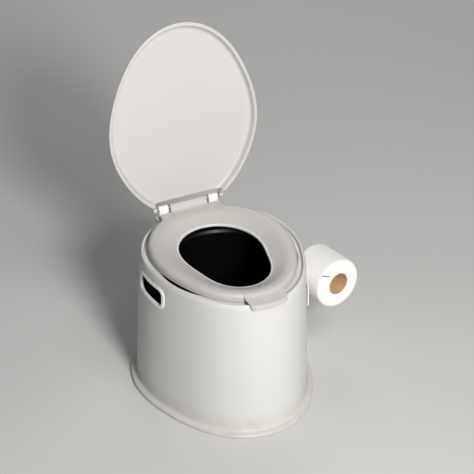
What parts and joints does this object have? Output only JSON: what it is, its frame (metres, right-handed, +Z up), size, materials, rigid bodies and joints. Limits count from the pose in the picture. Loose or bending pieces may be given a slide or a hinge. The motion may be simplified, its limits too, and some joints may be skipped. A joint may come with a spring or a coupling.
{
  "type": "portable camp toilet",
  "caption": "Bucket-style camp toilet: oval drum, hinged seat and lid, lift-out bucket, hand holes with trims and a hooked-on paper roll holder.",
  "frame": {"origin": "on the floor at the middle of the foot, on the underside of the base plate", "axes": "+Z up, -Y to the front of the seat, +Y to the hinge, +X to the side with the paper roll"},
  "size_m": [0.4701, 0.4389, 0.6967],
  "materials": {
    "shell": "satin",
    "seat": "fine texture",
    "lid": "satin",
    "trim": "gloss",
    "bucket": "gloss",
    "rubber": "matt",
    "wire": "drawn wire",
    "screw": "plated",
    "paper": "soft tissue",
    "core": "raw board"
  },
  "bodies": {
    "drum": {"drum_shell": "shell", "base_plate": "shell", "base_screws": "screw", "handle_trim_left": "trim", "handle_trim_right": "trim", "hinge_bracket_left": "trim", "hinge_bracket_right": "trim", "bracket_screws": "screw", "inner_bucket": "bucket", "bucket_bail": "wire", "bail_grip": "bucket", "holder_plate": "trim", "holder_spindle": "trim", "spindle_screw": "screw"},
    "seat": {"seat": "seat", "seat_feet": "rubber", "hinge_pin_left": "wire", "hinge_pin_right": "wire"},
    "lid": {"lid": "lid"},
    "roll": {"paper_roll": "paper", "roll_core": "core"}
  },
  "joints": [
    {"name": "seat_hinge", "type": "hinge", "parent": "drum", "child": "seat", "pos_m": [0, 0.178, 0.315], "axis": [-1, 0, 0], "range_deg": [0, 88]},
    {"name": "lid_hinge", "type": "hinge", "parent": "seat", "child": "lid", "pos_m": [0, 0.178, 0.315], "axis": [1, 0, 0], "range_deg": [0, 97.3]},
    {"name": "roll_spin", "type": "hinge", "parent": "drum", "child": "roll", "pos_m": [0.222, 0.0506, 0.171], "axis": [0.1734, -0.9835, 0.0523], "continuous": true}
  ]
}
